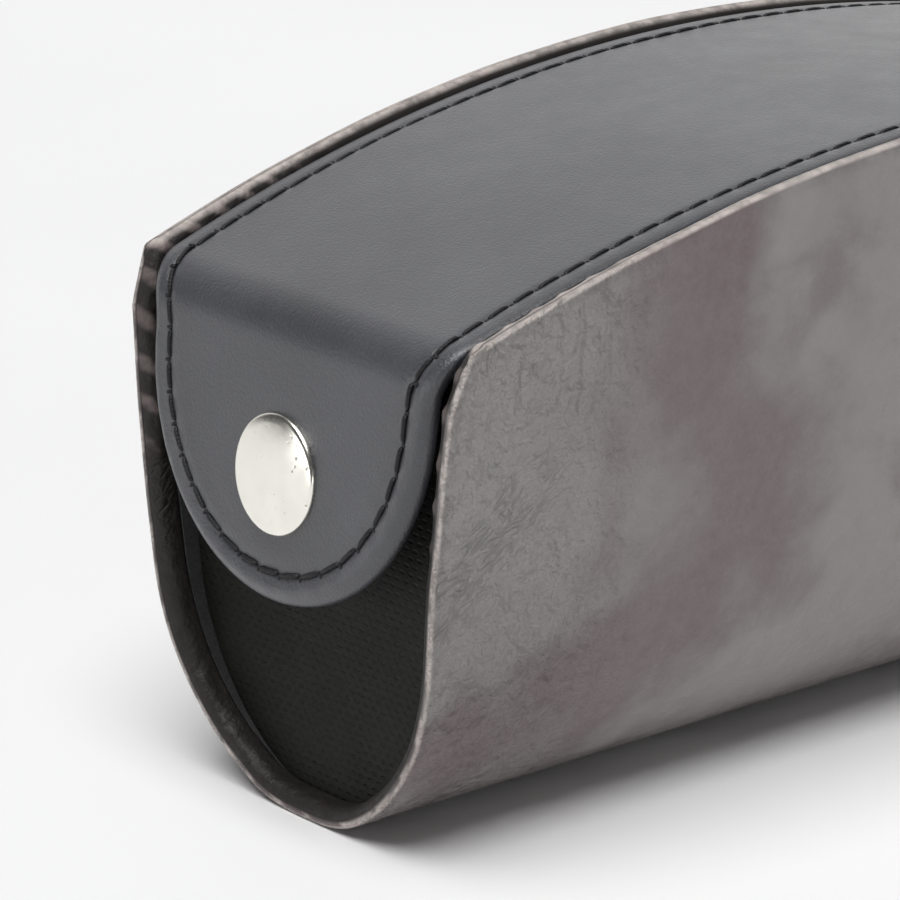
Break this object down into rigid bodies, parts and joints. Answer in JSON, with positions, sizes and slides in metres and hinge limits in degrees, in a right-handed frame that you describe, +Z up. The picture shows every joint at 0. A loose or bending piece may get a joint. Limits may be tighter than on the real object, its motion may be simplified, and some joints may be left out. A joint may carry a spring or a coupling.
{
  "type": "glasses case",
  "caption": "Stiff glasses case with a rounded trough, set-back end gussets and a stitched leather strip that arches over the top, riveted at one end and clasped at the other.",
  "frame": {"origin": "centre of the flat underside, halfway along and across the case", "axes": "+X along the case towards the riveted tongue (the clasp is at -X), +Y across it, +Z up"},
  "size_m": [0.164, 0.0556, 0.069],
  "materials": {
    "mottled_cover": "mottled grey coated covering, low sheen",
    "board": "plain stiff board",
    "felt_lining": "short black felt",
    "gusset_fabric": "black coated fabric embossed with small dots",
    "black_leather": "smooth black leather, satin",
    "black_backing": "thin black leather, matt",
    "thread": "waxed black thread",
    "nickel_silver": "polished, faint fine pits",
    "steel": "plain zinc-plated",
    "magnet": "nickel-plated magnet",
    "black_plastic": "moulded"
  },
  "bodies": {
    "case": {"outer_cover": "mottled_cover", "wall_board": "board", "inner_lining": "felt_lining", "front_gusset_cover": "gusset_fabric", "front_gusset_board": "board", "front_gusset_lining": "felt_lining", "rear_gusset_cover": "gusset_fabric", "rear_gusset_board": "board", "rear_gusset_lining": "felt_lining", "keeper_plate": "steel", "keeper_base": "black_plastic", "keeper_rivet": "steel", "keeper_washer": "steel", "fixed_tongue_cover": "black_leather", "fixed_tongue_stiffener": "board", "fixed_tongue_lining": "black_backing", "fixed_tongue_stitching": "thread", "rear_cap": "nickel_silver", "rear_spacer": "black_plastic", "rear_rivet": "steel", "rear_washer": "steel"},
    "lid": {"lid_cover": "black_leather", "lid_stiffener": "board", "lid_lining": "black_backing", "lid_stitching": "thread"},
    "tongue": {"tongue_cover": "black_leather", "tongue_stiffener": "board", "tongue_lining": "black_backing", "tongue_stitching": "thread", "clasp_cap": "nickel_silver", "clasp_rivet": "steel", "magnet_cup": "steel", "clasp_magnet": "magnet"}
  },
  "joints": [
    {"name": "lid_hinge", "type": "hinge", "parent": "case", "child": "lid", "pos_m": [0.07927, 0, 0.05054], "axis": [0, 1, 0], "range_deg": [0, 105]},
    {"name": "tongue_flex", "type": "hinge", "parent": "lid", "child": "tongue", "pos_m": [-0.07927, 0, 0.05054], "axis": [0, 1, 0], "range_deg": [0, 85]}
  ]
}
